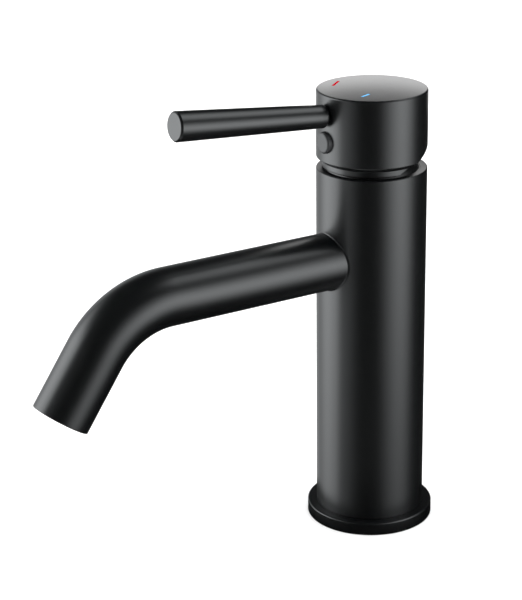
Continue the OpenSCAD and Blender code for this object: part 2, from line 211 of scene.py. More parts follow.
RED_PLASTIC = Finish(
    "red_plastic", (0.55, 0.06, 0.05), 0.40, mottle=0.05, grain_depth=0.006 * MM,
)
BLACK_PLASTIC = Finish(
    "black_plastic", (0.020, 0.0205, 0.022), 0.46, rough_spread=0.05, grain_depth=0.006 * MM,
)
CERAMIC = Finish(
    "ceramic", (0.86, 0.85, 0.80), 0.14, mottle=0.02, rough_spread=0.02, grain_depth=0.001 * MM,
    coat=0.3,
)
RED_ENAMEL = Finish(
    "red_enamel", (0.36, 0.0, 0.012), 0.50, mottle=0.08, mottle_size=2.0 * MM,
    grain_depth=0.002 * MM, specular=0.0,
)
BLUE_ENAMEL = Finish(
    "blue_enamel", (0.13, 0.40, 0.70), 0.50, mottle=0.06, mottle_size=2.0 * MM,
    grain_depth=0.002 * MM, specular=0.0,
)

CAD_FINISHES = {
    "nipple_oring": RUBBER,
    "aerator_screens": STEEL,
    "aerator_washer": RUBBER,
    "flow_regulator": WHITE_PLASTIC,
    "cartridge_seals": RUBBER,
    "cartridge_base": WHITE_PLASTIC,
    "fixed_disc": CERAMIC,
    "cartridge_housing": WHITE_PLASTIC,
    "cartridge_nut": BRASS,
    "limit_ring": RED_PLASTIC,
    "turret": WHITE_PLASTIC,
    "rocker_pin": STEEL,
    "disc_carrier": BLUE_PLASTIC,
    "moving_disc": CERAMIC,
    "stem": STEEL,
}


# ---- shaping ----


def guard_edges(mesh: Mesh, margin: float = GUARD, shortest: float = 6.0) -> None:
    """Adds a point near both ends of each long edge, so that shading stays flat between roundings.

    Args:
        mesh: The outline, of loose edges.
        margin: The distance from each end to the point that guards it.
        shortest: How many margins long an edge has to be before it is guarded.
    """
    for edge in mesh.edges[:]:
        length = edge.calc_length()
        if length < shortest * margin:
            continue
        first, second = edge.verts
        bmesh.utils.edge_split(edge, first, margin / length)
        bmesh.utils.edge_split(edge, second, margin / (length - margin))


def lathe(corners: Sequence[Corner], steps: int = 144, segments: int = 4) -> Mesh:
    """Turns a closed outline about the Z axis into a solid.

    Args:
        corners: The outline's corners, each as its radius, its height and its rounding.
        steps: How many steps the full turn takes.
        segments: How many segments each rounding takes.

    Returns:
        The solid.
    """
    mesh = bmesh.new()
    verts = [mesh.verts.new((radius, 0.0, height)) for radius, height, _ in corners]
    mesh.faces.new(verts)
    for rounding in sorted({corner[2] for corner in corners if corner[2] > 0.0}):
        picked = [vert for vert, corner in zip(verts, corners) if corner[2] == rounding]
        bmesh.ops.bevel(
            mesh, geom=picked, offset=rounding, offset_type="OFFSET", segments=segments,
            profile=0.5, affect="VERTICES", material=-1,
        )
    bmesh.ops.delete(mesh, geom=mesh.faces[:], context="FACES_ONLY")
    on_axis = [edge for edge in mesh.edges if all(vert.co.x < TINY for vert in edge.verts)]
    bmesh.ops.delete(mesh, geom=on_axis, context="EDGES")
    guard_edges(mesh)
    bmesh.ops.spin(
        mesh, geom=mesh.verts[:] + mesh.edges[:], cent=ORIGIN, axis=Z_AXIS, angle=math.tau,
        steps=steps, use_merge=True, use_normal_flip=False, use_duplicate=False,
    )
    close_up(mesh)
    return mesh


def close_up(mesh: Mesh) -> None:
    """Merges doubled points and turns every face outwards.

    Args:
        mesh: The solid.
    """
    bmesh.ops.remove_doubles(mesh, verts=mesh.verts[:], dist=TINY)
    bmesh.ops.recalc_face_normals(mesh, faces=mesh.faces[:])


def seal_ring(inner_r: float, outer_r: float, low_z: float, high_z: float) -> Mesh:
    """Turns an O-ring, squeezed a little flat, as it lies in its groove.

    Args:
        inner_r: Its inner radius.
        outer_r: Its outer radius.
        low_z: The height of its underside.
        high_z: The height of its top.

    Returns:
        The ring.
    """
    rounding = SEAL_ROUNDING * (outer_r - inner_r)
    return lathe([
        (inner_r, low_z, rounding),
        (outer_r, low_z, rounding),
        (outer_r, high_z, rounding),
        (inner_r, high_z, rounding),
    ])


def arc_corners(
    centre_z: float, radius: float, start: float, end: float, count: int
) -> list[Corner]:
    """Gives an outline's corners along a round stretch centred on the axis.

    Args:
        centre_z: The height of the arc's centre.
        radius: The arc's radius.
        start: The angle from straight up where it starts, in radians.
        end: The angle from straight up where it ends, in radians.
        count: How many corners it has.

    Returns:
        The corners, without rounding.
    """
    angles = [start + (end - start) * i / (count - 1) for i in range(count)]
    return [
        (radius * math.sin(angle), centre_z + radius * math.cos(angle), 0.0) for angle in angles
    ]


def rod(start: Vector, end: Vector, radius: float, sides: int = 64) -> Mesh:
    """Makes a round rod between two points.

    Args:
        start: The middle of one end.
        end: The middle of the other end.
        radius: The rod's radius.
        sides: How many sides it has.

    Returns:
        The rod.
    """
    mesh = bmesh.new()
    along = end - start
    turn = Z_AXIS.rotation_difference(along).to_matrix().to_4x4()
    bmesh.ops.create_cone(
        mesh, cap_ends=True, cap_tris=False, segments=sides, radius1=radius, radius2=radius,
        depth=along.length, matrix=Matrix.Translation((start + end) / 2) @ turn,
    )
    return mesh


def block(low: Vector, high: Vector) -> Mesh:
    """Makes a box between two corners.

    Args:
        low: The lowest corner.
        high: The highest corner.

    Returns:
        The box.
    """
    mesh = bmesh.new()
    size = Matrix.Diagonal((*(high - low), 1.0))
    bmesh.ops.create_cube(mesh, size=1.0, matrix=Matrix.Translation((low + high) / 2) @ size)
    return mesh


def move(mesh: Mesh, matrix: Matrix) -> Mesh:
    """Moves every point of a mesh, and returns the mesh.

    Args:
        mesh: The mesh.
        matrix: Where it goes.

    Returns:
        The same mesh.
    """
    bmesh.ops.transform(mesh, matrix=matrix, verts=mesh.verts[:])
    return mesh


def join(meshes: Sequence[Mesh]) -> Mesh:
    """Puts several meshes into one, and frees them.

    Args:
        meshes: The meshes.

    Returns:
        One mesh that holds them all.
    """
    whole = bmesh.new()
    for mesh in meshes:
        part = bpy.data.meshes.new("part")
        mesh.to_mesh(part)
        mesh.free()
        whole.from_mesh(part)
        bpy.data.meshes.remove(part)
    return whole


def carve(mesh: Mesh, cutters: Sequence[Mesh]) -> Mesh:
    """Cuts solids out of a solid.

    Args:
        mesh: The solid that is cut, which is freed.
        cutters: The solids that are taken away, one after the other, and freed.

    Returns:
        What is left.
    """
    work = as_object(mesh, "work")
    for cutter in cutters:
        tool = as_object(cutter, "tool")
        cut = work.modifiers.new("cut", "BOOLEAN")
        cut.operation = "DIFFERENCE"
        cut.solver = "EXACT"
        cut.object = tool
        bpy.context.view_layer.update()
        seen = work.evaluated_get(bpy.context.evaluated_depsgraph_get())
        left = bpy.data.meshes.new_from_object(seen)
        work.modifiers.clear()
        old, work.data = work.data, left
        bpy.data.meshes.remove(old)
        bpy.data.meshes.remove(tool.data)
    result = bmesh.new()
    result.from_mesh(work.data)
    bpy.data.meshes.remove(work.data)
    bmesh.ops.remove_doubles(result, verts=result.verts[:], dist=TINY)
    bmesh.ops.dissolve_degenerate(result, edges=result.edges[:], dist=TINY)
    return result


def as_object(mesh: Mesh, name: str) -> bpy.types.Object:
    """Makes a scene object from a mesh under construction, and frees that mesh.

    Args:
        mesh: The mesh.
        name: The object's name.

    Returns:
        The object, at the origin.
    """
    data = bpy.data.meshes.new(name)
    mesh.to_mesh(data)
    mesh.free()
    made = bpy.data.objects.new(name, data)
    bpy.context.scene.collection.objects.link(made)
    return made


def thread(
    root: float, crest: float, pitch: float, start: float, end: float, steps: int = 20
) -> Mesh:
    """Makes a screw thread's ridge as a solid that winds round the Z axis.

    Args:
        root: The radius where the ridge stands on its wall.
        crest: The radius of its sharp edge; smaller than the root on an inside thread.
        pitch: The rise of one turn.
        start: The height where it starts.
        end: The height where it ends.
        steps: How many steps each turn takes.

    Returns:
        The ridge.
    """
    mesh = bmesh.new()
    rise = end - start - pitch
    flank = pitch * THREAD_FLANK
    tip = pitch * THREAD_TIP
    first_z = start + pitch / 2
    outline = [(root, -flank), (crest, -tip), (crest, tip), (root, flank)]
    verts = [mesh.verts.new((radius, 0.0, first_z + height)) for radius, height in outline]
    cap = mesh.faces.new(verts)
    turns = rise / pitch
    count = max(1, round(turns * steps))
    spun = bmesh.ops.spin(
        mesh, geom=verts + cap.edges[:], cent=ORIGIN, axis=Z_AXIS, dvec=Z_AXIS * (rise / count),
        angle=math.tau * turns, steps=count, use_merge=False, use_normal_flip=False,
        use_duplicate=False,
    )
    ends = [item for item in spun["geom_last"] if isinstance(item, bmesh.types.BMEdge)]
    bmesh.ops.contextual_create(mesh, geom=ends)
    close_up(mesh)
    return mesh


class Pipe:
    """A pipe wall that grows ring by ring along its path, outside first and then back inside."""

    def __init__(self, centre: Vector, along: Vector, radius: float, sides: int = 96) -> None:
        """Starts the pipe with one ring of points.

        Args:
            centre: The middle of the ring.
            along: The direction in which the pipe grows.
            radius: The ring's radius.
            sides: How many points the ring has.
        """
        self.mesh = bmesh.new()
        self.centre = centre.copy()
        self.along = along.normalized()
        self.radius = radius
        turn = Z_AXIS.rotation_difference(self.along).to_matrix().to_4x4()
        made = bmesh.ops.create_circle(
            self.mesh, cap_ends=False, radius=radius, segments=sides,
            matrix=Matrix.Translation(centre) @ turn,
        )
        self.verts = made["verts"]
        self.edges = self._ring_edges()
        self.first = self.edges

    def _ring_edges(self) -> list[bmesh.types.BMEdge]:
        """Returns the edges between the points of the newest ring."""
        ring = set(self.verts)
        found = {edge for vert in self.verts for edge in vert.link_edges if set(edge.verts) <= ring}
        return list(found)

    def row(self, radius: float, station: Vector) -> None:
        """Grows the wall to a flat ring of another radius.

        Args:
            radius: The new ring's radius.
            station: The middle of the new ring.
        """
        made = bmesh.ops.extrude_edge_only(self.mesh, edges=self.edges)
        self.verts = [item for item in made["geom"] if isinstance(item, bmesh.types.BMVert)]
        for vert in self.verts:
            offset = vert.co - self.centre
            radial = offset - self.along * offset.dot(self.along)
            vert.co = station + radial * (radius / self.radius)
        self.centre, self.radius = station.copy(), radius
        self.edges = self._ring_edges()

    def advance(self, radius: float, distance: float) -> None:
        """Grows the wall to a flat ring that lies further along the pipe.

        Args:
            radius: The new ring's radius.
            distance: How far along the pipe it lies.
        """
        self.row(radius, self.centre + self.along * distance)

    def bend(self, pivot: Vector, angle: float, steps: int) -> None:
        """Grows the wall round a bend about an axis along X.

        Args:
            pivot: A point on the bend's axis.
            angle: The angle that the pipe turns through, in radians.
            steps: How many steps the bend takes.
        """
        made = bmesh.ops.spin(
            self.mesh, geom=self.verts + self.edges, cent=pivot, axis=X_AXIS, angle=angle,
            steps=steps, use_merge=False, use_normal_flip=False, use_duplicate=False,
        )
        self.verts = [item for item in made["geom_last"] if isinstance(item, bmesh.types.BMVert)]
        self.edges = self._ring_edges()
        turn = Matrix.Rotation(angle, 3, "X")
        self.centre = pivot + turn @ (self.centre - pivot)
        self.along = turn @ self.along

    def seat_on_column(self, column_r: float, gap: float) -> None:
        """Moves the newest ring onto the column's round face.

        Args:
            column_r: The column's radius.
            gap: The distance that the ring keeps from the face.
        """
        for vert in self.verts:
            vert.co.y = -math.sqrt(column_r**2 - vert.co.x**2) - gap

    def close_ends(self) -> Mesh:
        """Joins the last ring to the first.

        Returns:
            The closed pipe.
        """
        bmesh.ops.bridge_loops(self.mesh, edges=list(self.first) + list(self.edges))
        close_up(self.mesh)
        return self.mesh


# ---- pieces ----


def place(
    mesh: Mesh, name: str, body: str, finish: Finish, stands_for: str = ""
) -> bpy.types.Object:
    """Makes a finished piece: smooth faces with sharp creases, a body to ride on and a finish.

    Args:
        mesh: The piece's mesh, in its place, which is freed.
        name: The piece's name.
        body: The CAD body that it rides on.
        finish: Its finish.
        stands_for: The CAD node that it replaces, or nothing.

    Returns:
        The piece's object.
    """
    for face in mesh.faces:
        face.smooth = True
    for edge in mesh.edges:
        edge.smooth = len(edge.link_faces) == 2 and edge.calc_face_angle(0.0) < CREASE
    count = len(mesh.faces)
    piece = as_object(mesh, name)
    piece.data.materials.append(finish.material(f"{finish.slot}_{name}"))
    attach(piece, body)
    if stands_for:
        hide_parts(stands_for)
    LOG.info("%s: %d faces, on body %s, in %s", name, count, body, finish.slot)
    return piece


def reach(node: str) -> tuple[float, float, float]:
    """Returns a CAD node's largest X, lowest Z and highest Z."""
    low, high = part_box(node)
    return high.x, low.z, high.z


@dataclass
class Column:
    """The base ring on the deck, its gasket and seal, and the column tube that stands in it."""

    ring_r: float = reach("base_ring")[0]
    ring_h: float = reach("base_ring")[2]
    outer_r: float = reach("column_shell")[0]
    foot_z: float = reach("column_shell")[1]
    top_z: float = reach("column_shell")[2]
    gasket_r: float = reach("deck_gasket")[0]
    gasket_h: float = reach("deck_gasket")[2]
    gasket_w: float = 4.0 * MM
    wall: float = 3.0 * MM
    ledge: float = 1.5 * MM
    fit: float = 0.05 * MM
    seal_w: float = 1.2 * MM
    seal_low: float = 3.5 * MM
    seal_high: float = 5.1 * MM
    seal_lift: float = 0.2 * MM
    nipple_r: float = 5.5 * MM
    drill_reach: float = 30.0 * MM
    spout_z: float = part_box("spout_tube")[1].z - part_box("spout_tube")[1].x
    round_edge: float = 0.5 * MM
    small_edge: float = 0.25 * MM
    recess_edge: float = 0.12 * MM
    foot_edge: float = 0.2 * MM
    bore_edge: float = 0.3 * MM
    ribs: int = 3
    rib_depth: float = 0.25 * MM
    rib_edge: float = 0.1 * MM
    rib_flat: tuple[float, float] = (0.3, 0.7)
    gasket_play: float = 0.02 * MM
    steps: int = 180

    def build(self) -> None:
        """Builds the ring, the gasket, the seal and the tube."""
        place(self.ring_mesh(), "foot_ring", "root", SATIN_BLACK, "base_ring")
        place(self.gasket_mesh(), "foot_gasket", "root", RUBBER, "deck_gasket")
        place(self.seal_mesh(), "foot_seal", "root", RUBBER, "column_oring")
        place(self.tube_mesh(), "column_tube", "root", SATIN_BLACK, "column_shell")

    def ring_mesh(self) -> Mesh:
        """Turns the base ring, with its recess, seal groove and gasket channel."""
        bore_r = self.outer_r - self.wall - self.ledge
        channel_r = self.gasket_r - self.gasket_w
        recess_r = self.outer_r + self.fit
        return lathe([
            (bore_r, 0.0, self.small_edge),
            (channel_r, 0.0, 0.0),
            (channel_r, self.gasket_h, 0.0),
            (self.gasket_r, self.gasket_h, 0.0),
            (self.gasket_r, 0.0, 0.0),
            (self.ring_r, 0.0, self.small_edge),
            (self.ring_r, self.ring_h, self.round_edge),
            (recess_r, self.ring_h, self.recess_edge),
            (recess_r, self.seal_high, 0.0),
            (self.outer_r + self.seal_w, self.seal_high, 0.0),
            (self.outer_r + self.seal_w, self.seal_low, 0.0),
            (recess_r, self.seal_low, 0.0),
            (recess_r, self.foot_z, 0.0),
            (bore_r, self.foot_z, self.small_edge),
        ], steps=self.steps)

    def gasket_mesh(self) -> Mesh:
        """Turns the gasket, with shallow sealing ribs on its underside."""
        start_r = self.gasket_r - self.gasket_w
        inner_r = start_r + self.gasket_play
        outer_r = self.gasket_r - self.gasket_play
        pitch = self.gasket_w / self.ribs
        under: list[Corner] = []
        for i in range(self.ribs):
            rib_r = start_r + i * pitch
            if i > 0:
                under.append((rib_r, self.rib_depth, 0.0))
            under += [(rib_r + share * pitch, 0.0, self.rib_edge) for share in self.rib_flat]
        return lathe([
            (inner_r, self.rib_depth, 0.0),
            *under,
            (outer_r, self.rib_depth, 0.0),
            (outer_r, self.gasket_h, 0.0),
            (inner_r, self.gasket_h, 0.0),
        ])

    def seal_mesh(self) -> Mesh:
        """Turns the O-ring between the base ring and the column tube."""
        low_z = self.seal_low + self.seal_lift
        return seal_ring(self.outer_r, self.outer_r + self.seal_w, low_z, low_z + self.seal_w)

    def tube_mesh(self) -> Mesh:
        """Turns the column tube and drills the hole that the spout's nipple passes through."""
        bore_r = self.outer_r - self.wall
        tube = lathe([
            (bore_r, self.foot_z, self.foot_edge),
            (self.outer_r, self.foot_z, self.foot_edge),
            (self.outer_r, self.top_z, self.round_edge),
            (bore_r, self.top_z, self.bore_edge),
        ], steps=self.steps)
        middle = Vector((0.0, 0.0, self.spout_z))
        return carve(tube, [rod(middle, middle - Y_AXIS * self.drill_reach, self.nipple_r)])


@dataclass
class ValveBody:
    """The brass body inside the column: hose threads below, the cartridge's chamber above."""

    outer_r: float = reach("valve_body")[0]
    low_z: float = reach("valve_body")[1]
    high_z: float = reach("valve_body")[2]
    seat_z: float = reach("cartridge_seals")[1]
    chamber_r: float = 17.7 * MM
    spout_z: float = Column().spout_z
    inlet_x: float = 7.5 * MM
    inlet_y: float = -2.5 * MM
    inlet_depth: float = 12.0 * MM
    inlet_major_r: float = 5.0 * MM
    inlet_minor_r: float = 4.5 * MM
    inlet_pitch: float = 1.0 * MM
    stud_y: float = 12.0 * MM
    stud_depth: float = 18.0 * MM
    stud_major_r: float = 4.0 * MM
    stud_minor_r: float = 3.4 * MM
    stud_pitch: float = 1.25 * MM
    port_r: float = 2.4 * MM
    outlet_y: float = 5.0 * MM
    outlet_r: float = 3.2 * MM
    nipple_r: float = 5.5 * MM
    bore_r: float = 4.0 * MM
    nipple_in: float = 6.0 * MM
    outlet_rise: float = 20.0 * MM
    foot_edge: float = 0.6 * MM
    top_edge: float = 0.3 * MM
    over: float = 1.0 * MM
    thread_lead: float = 0.6 * MM
    thread_steps: int = 28
    steps: int = 120

    def build(self) -> None:
        """Builds the body and the ridges of its three inside threads."""
        ridges = [
            self.ridge(
                side * self.inlet_x, self.inlet_y, self.inlet_depth, self.inlet_major_r,
                self.inlet_minor_r, self.inlet_pitch,
            )
            for side in (-1, 1)
        ]
        ridges.append(self.ridge(
            0.0, self.stud_y, self.stud_depth, self.stud_major_r, self.stud_minor_r,
            self.stud_pitch,
        ))
        place(join([self.body_mesh(), *ridges]), "brass_body", "root", BRASS, "valve_body")

    def body_mesh(self) -> Mesh:
        """Turns the body and drills its water ways."""
        body = lathe([
            (0.0, self.low_z, 0.0),
            (self.outer_r, self.low_z, self.foot_edge),
            (self.outer_r, self.high_z, self.top_edge),
            (self.chamber_r, self.high_z, self.top_edge),
            (self.chamber_r, self.seat_z, 0.0),
            (0.0, self.seat_z, 0.0),
        ], steps=self.steps)
        over = Z_AXIS * self.over
        cutters = []
        for side in (-1, 1):
            foot = Vector((side * self.inlet_x, self.inlet_y, self.low_z))
            inlet_end = foot + Z_AXIS * self.inlet_depth
            cutters.append(rod(foot - over, inlet_end, self.inlet_major_r))
            cutters.append(rod(foot, Vector((foot.x, foot.y, self.high_z)), self.port_r, sides=32))
        foot = Vector((0.0, self.stud_y, self.low_z))
        cutters.append(rod(foot - over, foot + Z_AXIS * self.stud_depth, self.stud_major_r))
        turn = Vector((0.0, self.outlet_y, self.spout_z))
        front = Vector((0.0, -self.outer_r - self.over, self.spout_z))
        nipple_end = front + Y_AXIS * (self.over + self.nipple_in)
        cutters.append(rod(turn + Y_AXIS * (self.outlet_r + self.over), front, self.bore_r))
        cutters.append(rod(nipple_end, front, self.nipple_r))
        cutters.append(rod(turn, turn + Z_AXIS * self.outlet_rise, self.outlet_r, sides=48))
        return carve(body, cutters)

    def ridge(
        self, x: float, y: float, depth: float, major: float, minor: float, pitch: float
    ) -> Mesh:
        """Makes the ridge of one inside thread in its hole.

        Args:
            x: The hole's place across the body.
            y: The hole's place along the spout.
            depth: The hole's depth.
            major: The hole's own radius.
            minor: The radius of the ridge's crest.
            pitch: The rise of one turn.

        Returns:
            The ridge.
        """
        start = self.low_z + self.thread_lead
        end = self.low_z + depth - self.thread_lead
        ridge = thread(major + SUNK, minor, pitch, start, end, self.thread_steps)
        return move(ridge, Matrix.Translation((x, y, 0.0)))


@dataclass
class Spout:
    """The bent spout tube and the threaded nipple that ties it to the brass body."""

    inset: float = 0.02 * MM
    outer_r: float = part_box("spout_tube")[1].x - inset
    axis_z: float = Column().spout_z
    column_r: float = Column().outer_r
    bore_r: float = 10.5 * MM
    run: float = 98.6 * MM
    bend_r: float = 39.4 * MM
    bend_angle: float = math.radians(55.7)
    end: float = 29.0 * MM
    socket: float = 14.0 * MM
    nipple_r: float = 5.5 * MM
    nipple_bore_r: float = 4.0 * MM
    nipple_start: float = 13.8 * MM
    nipple_end: float = 35.0 * MM
    bead: float = 0.55 * MM
    bead_angles: Sequence[float] = (90.0, 70.0, 50.0, 30.0, 15.0, 0.0)
    bead_blend: float = 1.3
    groove: float = 0.1 * MM
    lip: float = 0.4 * MM
    lip_steps: int = 5
    bend_steps: int = 30
    thread_pitch: float = 1.0 * MM
    thread_lead: float = 0.4 * MM
    thread_depth: float = 0.35 * MM
    collar_start: float = 6.6 * MM
    collar_end: float = 10.2 * MM
    seal_start: float = 7.7 * MM
    seal_end: float = 9.3 * MM
    seal_depth: float = 0.8 * MM
    bore_edge: float = 0.2 * MM
    end_edge: float = 0.3 * MM

    def build(self) -> None:
        """Builds the tube and the nipple."""
        place(self.tube_mesh(), "spout_pipe", "root", SATIN_BLACK, "spout_tube")
        place(self.nipple_mesh(), "nipple", "root", BRASS, "spout_nipple")

    def outlet(self) -> Matrix:
        """Returns the place of the spout's mouth, with Z pointing out of it."""
        pivot = Vector((0.0, -self.run, self.axis_z - self.bend_r))
        turn = Matrix.Rotation(self.bend_angle, 3, "X")
        bend_end = pivot + turn @ (Z_AXIS * self.bend_r)
        mouth = bend_end + turn @ (-Y_AXIS * self.end)
        return Matrix.Translation(mouth) @ Matrix.Rotation(math.pi / 2 + self.bend_angle, 4, "X")

    def tube_mesh(self) -> Mesh:
        """Grows the tube from a bead round its foot, through the bend, to the mouth and back."""
        foot = Vector((0.0, -self.column_r, self.axis_z))
        pivot = Vector((0.0, -self.run, self.axis_z - self.bend_r))
        pipe = Pipe(foot, -Y_AXIS, self.outer_r + self.bead - self.groove)
        pipe.seat_on_column(self.column_r, 0.0)
        for degrees in self.bead_angles:
            angle = math.radians(degrees)
            pipe.row(self.outer_r + self.bead * (1.0 - math.cos(angle)), foot)
            pipe.seat_on_column(self.column_r, self.groove + self.bead * (1.0 - math.sin(angle)))
        pipe.row(self.outer_r, foot - Y_AXIS * (2.0 * self.bead))
        pipe.seat_on_column(self.column_r, self.groove + self.bead * self.bead_blend)
        pipe.row(self.outer_r, Vector((0.0, -self.run, self.axis_z)))
        pipe.bend(pivot, self.bend_angle, self.bend_steps)
        pipe.advance(self.outer_r, self.end - self.lip - GUARD)
        pipe.advance(self.outer_r, GUARD)
        self.roll_lip(pipe, self.outer_r, self.lip, 1)
        self.roll_lip(pipe, self.bore_r, -self.lip, -1)
        pipe.advance(self.bore_r, self.lip - self.end)
        pipe.bend(pivot, -self.bend_angle, self.bend_steps)
        inner_end = Vector((0.0, -self.column_r - self.socket, self.axis_z))
        pipe.row(self.bore_r, inner_end)
        pipe.row(self.nipple_r, inner_end)
        pipe.row(self.nipple_r, foot)
        pipe.seat_on_column(self.column_r, 0.0)
        return pipe.close_ends()

    def roll_lip(self, pipe: Pipe, radius: float, rounding: float, way: int) -> None:
        """Rounds one edge of the mouth.

        Args:
            pipe: The pipe, whose newest ring lies where the rounding starts.
            radius: The wall's radius at this edge.
            rounding: The rounding's radius, negative where the wall lies outside the edge.
            way: 1 to run out onto the mouth's face, -1 to run back off it into the bore.
        """
        size = abs(rounding)
        base = pipe.centre - pipe.along * (0.0 if way > 0 else size)
        quarter = math.pi / 2
        for step in range(1 if way > 0 else 0, self.lip_steps + 1):
            angle = quarter * step / self.lip_steps
            angle = angle if way > 0 else quarter - angle
            ring_r = radius - rounding * (1.0 - math.cos(angle))
            pipe.row(ring_r, base + pipe.along * (size * math.sin(angle)))

    def nipple_mesh(self) -> Mesh:
        """Turns the nipple, with a seal groove in its collar and a thread on both its ends."""
        length = self.nipple_end - self.nipple_start
        core_r = self.nipple_r - self.thread_depth
        groove_r = self.nipple_r - self.seal_depth
        shank = lathe([
            (self.nipple_bore_r, 0.0, self.bore_edge),
            (core_r, 0.0, self.end_edge),
            (core_r, self.collar_start, 0.0),
            (self.nipple_r, self.collar_start, 0.0),
            (self.nipple_r, self.seal_start, 0.0),
            (groove_r, self.seal_start, 0.0),
            (groove_r, self.seal_end, 0.0),
            (self.nipple_r, self.seal_end, 0.0),
            (self.nipple_r, self.collar_end, 0.0),
            (core_r, self.collar_end, 0.0),
            (core_r, length, self.end_edge),
            (self.nipple_bore_r, length, self.bore_edge),
        ], steps=72)
        stretches = (
            (self.thread_lead, self.collar_start), (self.collar_end, length - self.thread_lead),
        )
        ridges = [
            thread(core_r - SUNK, self.nipple_r, self.thread_pitch, start, end)
            for start, end in stretches
        ]
        seat = Matrix.Translation((0.0, -self.nipple_start, self.axis_z))
        turn = Matrix.Rotation(math.pi / 2, 4, "X")
        return move(join([shank, *ridges]), seat @ turn)


@dataclass
class Aerator:
    """The insert in the spout's mouth: a shell with a lip, and the lattice that shows behind it."""

    mouth: Matrix = field(default_factory=lambda: Spout().outlet())
    play: float = 0.05 * MM
    outer_r: float = Spout().bore_r - play
    wall: float = 1.4 * MM
    recess: float = 1.2 * MM
    length: float = 9.0 * MM
    lip: float = 1.0 * MM
    face_edge: float = 0.4 * MM
    lip_edge: float = 0.3 * MM
    back_edge: float = 0.2 * MM
    lip_back_edge: float = 0.1 * MM
    notches: int = 12
    notch_in: float = 1.1 * MM
    notch_w: float = 1.1 * MM
    notch_depth: float = 0.6 * MM
    lattice_t: float = 2.0 * MM
    cell: float = 1.45 * MM
    web: float = 0.34 * MM
    rim_w: float = 1.7 * MM
    rim_edge: float = 0.15 * MM
    steps: int = 96

    def build(self) -> None:
        """Builds the shell and the lattice."""
        place(self.shell_mesh(), "aerator_cup", "root", BLACK_PLASTIC, "aerator_shell")
        place(self.lattice_mesh(), "aerator_lattice", "root", BLACK_PLASTIC, "aerator_grid")

    def shell_mesh(self) -> Mesh:
        """Turns the shell and cuts the notches that its key grips."""
        inner = self.outer_r - self.wall
        face = -self.recess
        shell = lathe([
            (inner, face - self.length, self.back_edge),
            (self.outer_r, face - self.length, self.back_edge),
            (self.outer_r, face, self.face_edge),
            (inner - self.lip, face, self.lip_edge),
            (inner - self.lip, face - self.lip, self.lip_back_edge),
            (inner, face - self.lip, 0.0),
        ], steps=self.steps)
        half = self.notch_w / 2
        low = Vector((self.outer_r - self.notch_in, -half, face - self.notch_depth))
        high = Vector((self.outer_r + self.notch_depth, half, face + self.notch_depth))
        notches = [
            move(block(low, high), Matrix.Rotation(math.tau * i / self.notches, 4, "Z"))
            for i in range(self.notches)
        ]
        return move(carve(shell, [join(notches)]), self.mouth)

    def lattice_mesh(self) -> Mesh:
        """Makes the lattice from a grid whose cells are opened, with a rim round it."""
        inner = self.outer_r - self.wall - self.play
        top = -self.recess - self.lip
        foot = top - self.lattice_t
        count = 2 * math.ceil(inner / self.cell)
        lattice = bmesh.new()
        bmesh.ops.create_grid(
            lattice, x_segments=count, y_segments=count, size=count * self.cell / 2,
        )
        outside = [
            face for face in lattice.faces if max(vert.co.length for vert in face.verts) > inner
        ]
        bmesh.ops.delete(lattice, geom=outside, context="FACES")
        cells = lattice.faces[:]
        bmesh.ops.inset_individual(
            lattice, faces=cells, thickness=self.web / 2, use_even_offset=True,
        )
        bmesh.ops.delete(lattice, geom=cells, context="FACES_ONLY")
        bmesh.ops.solidify(lattice, geom=lattice.faces[:], thickness=self.lattice_t)
        bmesh.ops.recalc_face_normals(lattice, faces=lattice.faces[:])
        low = min(vert.co.z for vert in lattice.verts)
        move(lattice, Matrix.Translation((0.0, 0.0, foot - low)))
        rim = lathe([
            (inner - self.rim_w, foot, self.rim_edge),
            (inner, foot, self.rim_edge),
            (inner, top, self.rim_edge),
            (inner - self.rim_w, top, self.rim_edge),
        ], steps=self.steps)
        return move(join([lattice, rim]), self.mouth)


@dataclass
class Bonnet:
    """The black dome that covers the cartridge and that the head rolls over."""

    pin_z: float = Column().top_z - PIN_DEPTH
    dome_r: float = 21.477 * MM
    wall: float = 2.0 * MM
    low_z: float = reach("bonnet")[1]
    skirt_r: float = reach("bonnet")[0]
    skirt_top: float = Column().top_z - 0.2 * MM
    hole_r: float = 13.76 * MM
    groove_in_r: float = 18.95 * MM
    groove_low: float = 153.9 * MM
    groove_high: float = 155.5 * MM
    arc_points: int = 14
    hole_edge: float = 0.3 * MM
    foot_edge: float = 0.2 * MM
    skirt_edge: float = 0.1 * MM

    def build(self) -> None:
        """Builds the dome and its seal."""
        place(self.dome_mesh(), "dome", "root", SATIN_BLACK, "bonnet")
        place(self.seal_mesh(), "dome_seal", "root", RUBBER, "bonnet_oring")

    def dome_mesh(self) -> Mesh:
        """Turns the dome: a round cap with a wide hole on top of a short skirt."""
        inside = self.dome_r - self.wall
        outer = arc_corners(
            self.pin_z, self.dome_r, math.acos((self.skirt_top - self.pin_z) / self.dome_r),
            math.asin(self.hole_r / self.dome_r), self.arc_points,
        )
        inner = arc_corners(
            self.pin_z, inside, math.asin(self.hole_r / inside),
            math.acos((self.low_z - self.pin_z) / inside), self.arc_points,
        )
        outer[-1] = (*outer[-1][:2], self.hole_edge)
        inner[0] = (*inner[0][:2], self.foot_edge)
        return lathe([
            (self.skirt_r, self.low_z, self.foot_edge),
            (self.skirt_r, self.groove_low, 0.0),
            (self.groove_in_r, self.groove_low, 0.0),
            (self.groove_in_r, self.groove_high, 0.0),
            (self.skirt_r, self.groove_high, 0.0),
            (self.skirt_r, self.skirt_top, self.skirt_edge),
            *outer,
            *inner,
        ])

    def seal_mesh(self) -> Mesh:
        """Turns the O-ring in the skirt's groove."""
        half = (self.skirt_r - self.groove_in_r) / 2
        middle = (self.groove_low + self.groove_high) / 2
        return seal_ring(self.groove_in_r, self.skirt_r, middle - half, middle + half)


